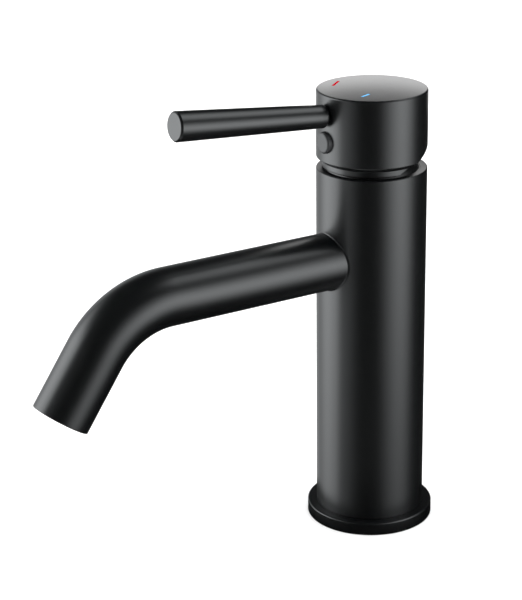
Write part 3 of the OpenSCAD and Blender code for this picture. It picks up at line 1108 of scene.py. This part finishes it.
@dataclass(frozen=True)
class Mark:
    """A temperature mark let into the head's top face."""

    node: str
    name: str
    finish: Finish
    x: float
    y: float
    turn: float
    length: float
    width: float = 1.1 * MM
    depth: float = 0.3 * MM
    proud: float = 0.03 * MM
    crown: float = 0.12 * MM

    def solid(self, top: float, bottom: float) -> Mesh:
        """Makes the mark's box.

        Args:
            top: The height of its upper face.
            bottom: The height of its lower face.

        Returns:
            The box, turned and in its place.
        """
        half = Vector((self.length / 2, self.width / 2, 0.0))
        box = block(-half + Z_AXIS * bottom, half + Z_AXIS * top)
        turn = Matrix.Rotation(math.radians(self.turn), 4, "Z")
        return move(box, Matrix.Translation((self.x, self.y, 0.0)) @ turn)

    def build(self, face_z: float) -> None:
        """Builds the enamel, slightly crowned where it stands in its pocket.

        Args:
            face_z: The height of the head's top face.
        """
        enamel = self.solid(face_z + self.proud, face_z - self.depth)
        rim = [edge for edge in enamel.edges if all(vert.co.z > face_z for vert in edge.verts)]
        bmesh.ops.bevel(
            enamel, geom=rim, offset=self.crown, offset_type="OFFSET", segments=3, profile=0.5,
            affect="EDGES", material=-1,
        )
        place(enamel, self.name, "handle", self.finish, self.node)


@dataclass
class Handle:
    """The turning head with its lever, its set screw and cover, and the marks on top."""

    outer_r: float = reach("head")[0]
    low_z: float = reach("head")[1]
    top_z: float = reach("head")[2]
    pin_z: float = Column().top_z - PIN_DEPTH
    cavity_r: float = 22.1 * MM
    cavity_points: int = 16
    rim_w: float = 0.12 * MM
    rim_edge: float = 0.1 * MM
    bevel_h: float = 4.0 * MM
    bevel_edge: float = 0.35 * MM
    bevel_share: float = 0.6
    lip: float = 0.85 * MM
    lip_top_edge: float = 0.12 * MM
    lip_edge: float = 0.25 * MM
    edge: float = 0.7 * MM
    relief: float = 9.4 * MM
    lift: float = math.radians(25.0)
    socket_w: float = 8.2 * MM
    stem_top: float = 176.6 * MM
    plug_z: float = 170.0 * MM
    plug_r: float = 4.6 * MM
    plug_depth: float = 3.5 * MM
    plug_out: float = 1.7 * MM
    plug_back: float = 2.5 * MM
    plug_round: float = 1.0 * MM
    plug_back_edge: float = 0.15 * MM
    plug_gap: float = 0.1 * MM
    plug_reach: float = 6.0 * MM
    screw_r: float = 2.5 * MM
    screw_len: float = 8.0 * MM
    screw_aim: float = 3.8 * MM
    screw_over: float = 0.1
    point_h: float = 0.6 * MM
    key_across: float = 2.5 * MM
    key_depth: float = 3.0 * MM
    stem_half: float = 4.0 * MM
    slope: float = math.radians(5.2)
    lever_drop: float = 10.6 * MM
    lever_reach: float = 92.9 * MM
    root_r: float = 4.8 * MM
    tip_r: float = 6.1 * MM
    chamfer: float = 0.7 * MM
    tip_edge: float = 0.12 * MM
    chamfer_edge: float = 0.15 * MM
    root_edge: float = 0.25 * MM
    neck_edge: float = 0.1 * MM
    neck_r: float = 3.1 * MM
    neck_in: float = 0.6 * MM
    neck_out: float = 0.7 * MM
    stud_r: float = 2.5 * MM
    stud_in: float = 10.0 * MM
    stud_out: float = 11.0 * MM
    stud_edge: float = 0.3 * MM
    thread_depth: float = 0.4 * MM
    thread_pitch: float = 0.8 * MM
    thread_lead: float = 0.2 * MM
    over: float = 1.0 * MM
    lever_clear: float = 30.0 * MM
    marks: Sequence[Mark] = (
        Mark("hot_mark", "red_mark", RED_ENAMEL, -14.6 * MM, -8.0 * MM, 129.0, 8.4 * MM),
        Mark("cold_mark", "blue_mark", BLUE_ENAMEL, 8.9 * MM, -9.4 * MM, 112.0, 5.4 * MM),
    )

    def build(self) -> None:
        """Builds the head, the lever and its stud, the screw, its cover and the marks."""
        place(self.head_mesh(), "turning_head", "handle", SATIN_BLACK, "head")
        place(self.rod_mesh(), "lever", "handle", SATIN_BLACK, "lever_rod")
        place(self.stud_mesh(), "threaded_stud", "handle", STEEL, "lever_stud")
        place(self.screw_mesh(), "grub_screw", "handle", SCREW_STEEL, "set_screw")
        place(self.plug_mesh(), "screw_cover", "handle", BLACK_PLASTIC, "screw_plug")
        for mark in self.marks:
            mark.build(self.top_z)

    def lever_place(self) -> Matrix:
        """Returns the lever's place: Z runs along it, from the column's axis."""
        lift = Matrix.Translation((0.0, 0.0, self.top_z - self.lever_drop))
        return lift @ Matrix.Rotation(math.pi / 2 - self.slope, 4, "X")

    def root_at(self) -> float:
        """Returns the distance along the lever from the column's axis to the head's face."""
        return self.outer_r / math.cos(self.slope)

    def screw_line(self) -> tuple[Vector, Vector]:
        """Returns where the set screw's axis leaves the cover's recess and meets the stem."""
        start = Vector((0.0, self.plug_depth - self.outer_r, self.plug_z))
        return start, Vector((0.0, -self.stem_half, self.plug_z + self.screw_aim))

    def head_mesh(self) -> Mesh:
        """Turns the head, trims its back so that it can tilt, and cuts its sockets and pockets."""
        rim_r = math.sqrt(self.cavity_r**2 - (self.low_z - self.pin_z) ** 2)
        lip_r = rim_r + self.lip
        head = lathe([
            (0.0, self.top_z, 0.0),
            (self.outer_r, self.top_z, self.edge),
            (self.outer_r, self.low_z + self.bevel_h, self.bevel_edge),
            (lip_r, self.low_z + self.bevel_share * self.bevel_h, self.lip_top_edge),
            (lip_r, self.low_z, self.lip_edge),
            (rim_r + self.rim_w, self.low_z, self.rim_edge),
            *arc_corners(
                self.pin_z, self.cavity_r, math.asin(rim_r / self.cavity_r), 0.0,
                self.cavity_points,
            ),
        ], steps=200)
        tilt = Vector((0.0, -math.sin(self.lift), math.cos(self.lift)))
        cut = bmesh.ops.bisect_plane(
            head, geom=head.verts[:] + head.edges[:] + head.faces[:], dist=TINY,
            plane_co=Z_AXIS * self.pin_z + tilt * self.relief, plane_no=tilt,
            clear_inner=True,
        )
        rim = [item for item in cut["geom_cut"] if isinstance(item, bmesh.types.BMEdge)]
        bmesh.ops.holes_fill(head, edges=rim, sides=0)
        bmesh.ops.recalc_face_normals(head, faces=head.faces[:])
        return carve(head, self.head_cutters())

    def head_cutters(self) -> list[Mesh]:
        """Returns what is cut out of the head: sockets, screw holes, recess and mark pockets."""
        half = self.socket_w / 2
        start, end = self.screw_line()
        lever = self.lever_place()
        back = lever @ Vector((0.0, 0.0, self.root_at() - self.stud_in))
        neck = lever @ Vector((0.0, 0.0, self.root_at() - self.neck_in))
        clear = lever @ Vector((0.0, 0.0, self.lever_clear))
        cutters = [
            block(Vector((-half, -half, self.pin_z)), Vector((half, half, self.stem_top))),
            rod(start, start - Y_AXIS * self.plug_reach, self.plug_r, sides=96),
            rod(start - (end - start) * self.screw_over, end, self.screw_r, sides=48),
            rod(back, clear, self.stud_r, sides=48),
            rod(neck, clear, self.neck_r),
        ]
        above = self.top_z + self.over
        return cutters + [mark.solid(above, self.top_z - mark.depth) for mark in self.marks]

    def rod_mesh(self) -> Mesh:
        """Turns the lever: a rod that grows towards its flat tip, on a short neck."""
        base = self.root_at() + self.neck_out
        length = self.lever_reach / math.cos(self.slope) - base
        neck = self.neck_in + self.neck_out
        bore_end = self.stud_out - self.neck_out
        lever = lathe([
            (0.0, length, 0.0),
            (self.tip_r - self.chamfer, length, self.tip_edge),
            (self.tip_r, length - self.chamfer, self.chamfer_edge),
            (self.root_r, self.chamfer, self.root_edge),
            (self.root_r - self.chamfer, 0.0, self.chamfer_edge),
            (self.neck_r, 0.0, 0.0),
            (self.neck_r, -neck, self.neck_edge),
            (self.stud_r, -neck, 0.0),
            (self.stud_r, bore_end, 0.0),
            (0.0, bore_end, 0.0),
        ], steps=112)
        return move(lever, self.lever_place() @ Matrix.Translation((0.0, 0.0, base)))

    def stud_mesh(self) -> Mesh:
        """Turns the stud that ties the lever to the head, with its thread."""
        length = self.stud_in + self.stud_out
        core_r = self.stud_r - self.thread_depth
        core = lathe([
            (0.0, 0.0, 0.0),
            (core_r, 0.0, self.stud_edge),
            (core_r, length, self.stud_edge),
            (0.0, length, 0.0),
        ], steps=48)
        ridge = self.ridge(self.stud_r, length - self.thread_lead)
        back = Matrix.Translation((0.0, 0.0, self.root_at() - self.stud_in))
        return move(join([core, ridge]), self.lever_place() @ back)

    def ridge(self, crest: float, end: float) -> Mesh:
        """Makes the ridge of the thread on the stud or the set screw.

        Args:
            crest: The radius of the ridge's crest.
            end: Where it ends along the piece.

        Returns:
            The ridge.
        """
        root = crest - self.thread_depth - SUNK
        return thread(root, crest, self.thread_pitch, self.thread_lead, end)

    def screw_mesh(self) -> Mesh:
        """Turns the set screw, with its thread, its cone point and the socket for a hex key."""
        core_r = self.screw_r - self.thread_depth
        shoulder = self.screw_len - self.point_h
        core = lathe([
            (0.0, 0.0, 0.0),
            (core_r, 0.0, self.stud_edge),
            (core_r, shoulder, 0.0),
            (core_r - self.point_h, self.screw_len, 0.0),
            (0.0, self.screw_len, 0.0),
        ], steps=48)
        key_r = self.key_across / 2 / math.cos(math.pi / 6)
        key = rod(-Z_AXIS * self.over, Z_AXIS * self.key_depth, key_r, sides=6)
        start, end = self.screw_line()
        along = end - start
        tilt = math.atan2(along.z, along.y)
        back = along.length - self.screw_r * math.tan(tilt) - self.screw_len
        seat = Matrix.Translation(start + along.normalized() * back)
        turn = Matrix.Rotation(tilt - math.pi / 2, 4, "X")
        return move(join([carve(core, [key]), self.ridge(self.screw_r, shoulder)]), seat @ turn)

    def plug_mesh(self) -> Mesh:
        """Turns the cover over the set screw, a button with a rounded edge."""
        radius = self.plug_r - self.plug_gap
        thick = self.plug_out + self.plug_back
        plug = lathe([
            (0.0, 0.0, 0.0),
            (radius, 0.0, self.plug_round),
            (radius, thick, self.plug_back_edge),
            (0.0, thick, 0.0),
        ], steps=112, segments=7)
        seat = Matrix.Translation((0.0, -self.plug_out - self.outer_r, self.plug_z))
        return move(plug, seat @ Matrix.Rotation(-math.pi / 2, 4, "X"))


def dress_cad_nodes() -> None:
    """Gives each CAD node that still shows its own finish."""
    for name, finish in CAD_FINISHES.items():
        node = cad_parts[name]
        node.data.materials.clear()
        node.data.materials.append(finish.material(f"{finish.slot}_{name}"))
        LOG.info("%s: CAD node in %s", name, finish.slot)


# ---- studio ----


def show_in_reflections(piece: bpy.types.Object) -> None:
    """Hides a piece from all but the reflections.

    Args:
        piece: The piece.
    """
    piece.visible_camera = False
    piece.visible_diffuse = False
    piece.visible_transmission = False
    piece.visible_shadow = False


@dataclass(frozen=True)
class StudioCamera:
    """The camera that looks at the mixer from its right front, a little from above."""

    distance: float = 784.2 * MM
    height: float = 385.6 * MM
    azimuth: float = 54.85
    heading: float = -3.394
    pitch: float = 20.171
    roll: float = -0.772
    lens: float = 118.2
    clip: tuple[float, float] = (0.01, 20.0)

    def build(self) -> None:
        """Makes the camera and sets it as the scene's own."""
        data = bpy.data.cameras.new("studio_camera")
        data.lens = self.lens
        data.clip_start, data.clip_end = self.clip
        camera = bpy.data.objects.new("studio_camera", data)
        bpy.context.scene.collection.objects.link(camera)
        swing = Matrix.Rotation(math.radians(self.azimuth), 4, "Z")
        stand = Matrix.Translation((0.0, -self.distance, self.height))
        turn = Matrix.Rotation(-math.radians(self.heading), 4, "Z")
        tip = Matrix.Rotation(math.radians(90.0 - self.pitch), 4, "X")
        lean = Matrix.Rotation(math.radians(self.roll), 4, "Z")
        camera.matrix_world = swing @ stand @ turn @ tip @ lean
        bpy.context.scene.camera = camera


@dataclass(frozen=True)
class Panel:
    """A glowing panel, part of a sphere round the mixer, that only reflections see.

    Turns are degrees from the camera's direction, positive to its right; tilts are degrees above
    level. Each side fades out over its own number of degrees.
    """

    name: str
    turns: tuple[float, float]
    tilts: tuple[float, float]
    glow: float
    fade_turns: tuple[float, float] = (10.0, 10.0)
    fade_tilts: tuple[float, float] = (10.0, 10.0)
    radius: float = 2.0
    height: float = 0.1
    colour: tuple[float, float, float] = (0.967, 1.0, 1.016)
    tilt_steps: int = 12
    turn_steps: int = 24

    def build(self, camera_azimuth: float) -> None:
        """Hangs the panel round the mixer.

        Args:
            camera_azimuth: The camera's azimuth, in degrees.
        """
        first, last = (math.radians(camera_azimuth + turn - 90.0) for turn in self.turns)
        low, high = (math.radians(tilt) for tilt in self.tilts)
        mesh = bmesh.new()
        mesh.verts.new((self.radius * math.cos(low), 0.0, self.radius * math.sin(low)))
        bmesh.ops.spin(
            mesh, geom=mesh.verts[:], cent=ORIGIN, axis=-Y_AXIS, angle=high - low,
            steps=self.tilt_steps, use_merge=False, use_normal_flip=False, use_duplicate=False,
        )
        bmesh.ops.remove_doubles(mesh, verts=mesh.verts[:], dist=TINY)
        move(mesh, Matrix.Rotation(first, 4, "Z"))
        bmesh.ops.spin(
            mesh, geom=mesh.verts[:] + mesh.edges[:], cent=ORIGIN, axis=Z_AXIS,
            angle=last - first, steps=self.turn_steps, use_merge=False, use_normal_flip=False,
            use_duplicate=False,
        )
        bmesh.ops.remove_doubles(mesh, verts=mesh.verts[:], dist=TINY)
        panel = as_object(move(mesh, Matrix.Translation((0.0, 0.0, self.height))), self.name)
        panel.data.materials.append(self.material((first + last) / 2))
        show_in_reflections(panel)

    def material(self, middle: float) -> bpy.types.Material:
        """Builds the glow, which fades towards each side.

        Args:
            middle: The angle of the panel's middle about the Z axis, in radians.

        Returns:
            The material.
        """
        material = bpy.data.materials.new(self.name)
        material.use_nodes = True
        material.cycles.emission_sampling = "NONE"
        tree = material.node_tree
        nodes, link = tree.nodes, tree.links.new
        nodes.remove(nodes["Principled BSDF"])
        mapping = nodes.new("ShaderNodeMapping")
        mapping.vector_type = "TEXTURE"
        mapping.inputs["Location"].default_value = (0.0, 0.0, self.height)
        mapping.inputs["Rotation"].default_value = (0.0, 0.0, middle)
        mapping.inputs["Scale"].default_value = (self.radius, self.radius, self.radius)
        link(nodes.new("ShaderNodeTexCoord").outputs["Object"], mapping.inputs["Vector"])
        round_z = nodes.new("ShaderNodeTexGradient")
        round_z.gradient_type = "RADIAL"
        link(mapping.outputs["Vector"], round_z.inputs["Vector"])
        upward = nodes.new("ShaderNodeSeparateXYZ")
        link(mapping.outputs["Vector"], upward.inputs["Vector"])
        half = (self.turns[1] - self.turns[0]) / FULL_TURN / 2
        near, far = (fade / FULL_TURN for fade in self.fade_turns)
        low, low_in, high_in, high = (
            math.sin(math.radians(tilt)) for tilt in (
                self.tilts[0], self.tilts[0] + self.fade_tilts[0],
                self.tilts[1] - self.fade_tilts[1], self.tilts[1],
            )
        )
        turn, rise = round_z.outputs["Fac"], upward.outputs["Z"]
        share = self.fade(tree, turn, 0.5 - half, 0.5 - half + near, None)
        share = self.fade(tree, turn, 0.5 + half, 0.5 + half - far, share)
        share = self.fade(tree, rise, low, low_in, share)
        share = self.fade(tree, rise, high, high_in, share)
        emission = nodes.new("ShaderNodeEmission")
        emission.inputs["Color"].default_value = (*self.colour, 1.0)
        link(share, emission.inputs["Strength"])
        clear = nodes.new("ShaderNodeBsdfTransparent")
        both = nodes.new("ShaderNodeAddShader")
        link(emission.outputs[0], both.inputs[0])
        link(clear.outputs[0], both.inputs[1])
        link(both.outputs[0], nodes["Material Output"].inputs["Surface"])
        return material

    def fade(
        self,
        tree: bpy.types.NodeTree,
        value: bpy.types.NodeSocket,
        dark_at: float,
        full_at: float,
        share: bpy.types.NodeSocket | None,
    ) -> bpy.types.NodeSocket:
        """Adds one side's fade to the glow.

        Args:
            tree: The node tree.
            value: The place across the panel.
            dark_at: The place where the glow has gone.
            full_at: The place where the glow is full.
            share: The glow with the fades so far, or None for the full glow.

        Returns:
            The glow with this fade as well.
        """
        ramp = tree.nodes.new("ShaderNodeMapRange")
        ramp.interpolation_type = "SMOOTHSTEP"
        ramp.inputs["From Min"].default_value = dark_at
        ramp.inputs["From Max"].default_value = full_at
        tree.links.new(value, ramp.inputs["Value"])
        product = tree.nodes.new("ShaderNodeMath")
        product.operation = "MULTIPLY"
        tree.links.new(ramp.outputs["Result"], product.inputs[0])
        product.inputs[1].default_value = self.glow
        if share is not None:
            tree.links.new(share, product.inputs[1])
        return product.outputs["Value"]


PANELS = (
    Panel("left_key", (-140.0, -62.0), (-45.0, 45.0), 4.9, (45.0, 14.0), (32.0, 20.0)),
    Panel("left_fill", (-68.0, -20.0), (-45.0, 30.0), 1.25, (6.0, 40.0), (30.0, 20.0)),
    Panel("left_rear", (-180.0, -115.0), (-45.0, 35.0), 0.7, (20.0, 30.0), (20.0, 20.0)),
    Panel("right_key", (12.0, 104.0), (-46.0, 47.0), 5.2, (52.0, 42.0), (46.0, 46.0), 0.9),
    Panel("top_key", (60.0, 170.0), (36.0, 74.0), 3.2, (40.0, 50.0), (14.0, 14.0)),
    Panel("front_low", (-75.0, 50.0), (-80.0, -38.0), 1.3, (20.0, 20.0), (10.0, 12.0)),
    Panel("head_key", (126.0, 230.0), (8.0, 56.0), 2.5, (12.0, 12.0), (28.0, 3.0), 0.056, 0.1535,
          (1.0, 1.0, 1.0)),
)


@dataclass(frozen=True)
class Flag:
    """A black disc round the mixer's foot that only reflections see, so that the foot goes dark."""

    radius: float = 44.0 * MM
    height: float = 0.2 * MM

    def build(self) -> None:
        """Lays the disc just above the floor."""
        mesh = bmesh.new()
        bmesh.ops.create_circle(
            mesh, cap_ends=True, segments=64, radius=self.radius,
            matrix=Matrix.Translation((0.0, 0.0, self.height)),
        )
        flag = as_object(mesh, "foot_flag")
        material = bpy.data.materials.new("foot_flag")
        material.use_nodes = True
        shader = material.node_tree.nodes["Principled BSDF"]
        shader.inputs["Base Color"].default_value = (0.0, 0.0, 0.0, 1.0)
        shader.inputs["Specular IOR Level"].default_value = 0.0
        flag.data.materials.append(material)
        show_in_reflections(flag)


@dataclass(frozen=True)
class Studio:
    """The pale floor that sweeps up into a wall, the soft light from above, and the panels."""

    floor_r: float = 4.0
    near_r: float = 0.3
    wall_h: float = 3.0
    sweep: float = 1.2
    sweep_steps: int = 8
    pale: tuple[float, float, float] = (0.9, 0.9, 0.9)
    sun: float = 4.6
    softness: float = 100.0
    ambient: float = 0.025
    panels: Sequence[Panel] = PANELS

    def build(self, camera: StudioCamera) -> None:
        """Builds the floor, the lights and the world.

        Args:
            camera: The camera that the panels are hung round.
        """
        self.build_floor()
        self.build_light()
        for panel in self.panels:
            panel.build(camera.azimuth)
        Flag().build()
        bpy.context.scene.view_settings.view_transform = "Standard"

    def build_floor(self) -> None:
        """Turns the floor and its wall as one sweep, which is clear when it is seen from below."""
        mesh = bmesh.new()
        flat_r = self.floor_r - self.sweep
        outline = [(0.0, 0.0), (self.near_r, 0.0), (flat_r, 0.0)]
        for step in range(1, self.sweep_steps + 1):
            angle = math.pi / 2 * step / self.sweep_steps
            height = self.sweep * (1.0 - math.cos(angle))
            outline.append((flat_r + self.sweep * math.sin(angle), height))
        outline.append((self.floor_r, self.wall_h))
        verts = [mesh.verts.new((radius, 0.0, height)) for radius, height in outline]
        for first, second in zip(verts, verts[1:]):
            mesh.edges.new((first, second))
        bmesh.ops.spin(
            mesh, geom=mesh.verts[:] + mesh.edges[:], cent=ORIGIN, axis=Z_AXIS, angle=math.tau,
            steps=96, use_merge=True, use_normal_flip=False, use_duplicate=False,
        )
        close_up(mesh)
        if min(mesh.faces, key=lambda face: face.calc_center_median().length).normal.z < 0.0:
            bmesh.ops.reverse_faces(mesh, faces=mesh.faces[:])
        for face in mesh.faces:
            face.smooth = True
        floor = as_object(mesh, "floor")
        material = bpy.data.materials.new("floor")
        material.use_nodes = True
        nodes, link = material.node_tree.nodes, material.node_tree.links.new
        shader = nodes["Principled BSDF"]
        shader.inputs["Base Color"].default_value = (*self.pale, 1.0)
        shader.inputs["Roughness"].default_value = 1.0
        shader.inputs["Specular IOR Level"].default_value = 0.0
        clear = nodes.new("ShaderNodeBsdfTransparent")
        side = nodes.new("ShaderNodeMixShader")
        link(nodes.new("ShaderNodeNewGeometry").outputs["Backfacing"], side.inputs[0])
        link(shader.outputs[0], side.inputs[1])
        link(clear.outputs[0], side.inputs[2])
        link(side.outputs[0], nodes["Material Output"].inputs["Surface"])
        floor.data.materials.append(material)
        floor.visible_glossy = False
        floor.visible_shadow = False

    def build_light(self) -> None:
        """Adds the broad light from above, which reflections do not see, and a dim world."""
        data = bpy.data.lights.new("broad_light", "SUN")
        data.energy = self.sun
        data.angle = math.radians(self.softness)
        light = bpy.data.objects.new("broad_light", data)
        light.visible_glossy = False
        bpy.context.scene.collection.objects.link(light)
        world = bpy.data.worlds.new("studio")
        world.use_nodes = True
        nodes, link = world.node_tree.nodes, world.node_tree.links.new
        dim = nodes["Background"]
        dim.inputs["Color"].default_value = (1.0, 1.0, 1.0, 1.0)
        dim.inputs["Strength"].default_value = self.ambient
        backdrop = nodes.new("ShaderNodeBackground")
        backdrop.inputs["Color"].default_value = (*self.pale, 1.0)
        seen = nodes.new("ShaderNodeMixShader")
        link(nodes.new("ShaderNodeLightPath").outputs["Is Camera Ray"], seen.inputs[0])
        link(dim.outputs[0], seen.inputs[1])
        link(backdrop.outputs[0], seen.inputs[2])
        link(seen.outputs[0], nodes["World Output"].inputs["Surface"])
        bpy.context.scene.world = world


def main() -> None:
    """Builds the mixer and its studio, and reports each piece."""
    camera = StudioCamera()
    camera.build()
    Column().build()
    ValveBody().build()
    Spout().build()
    Aerator().build()
    Bonnet().build()
    Handle().build()
    dress_cad_nodes()
    Studio().build(camera)


if __name__ == "__main__":
    main()
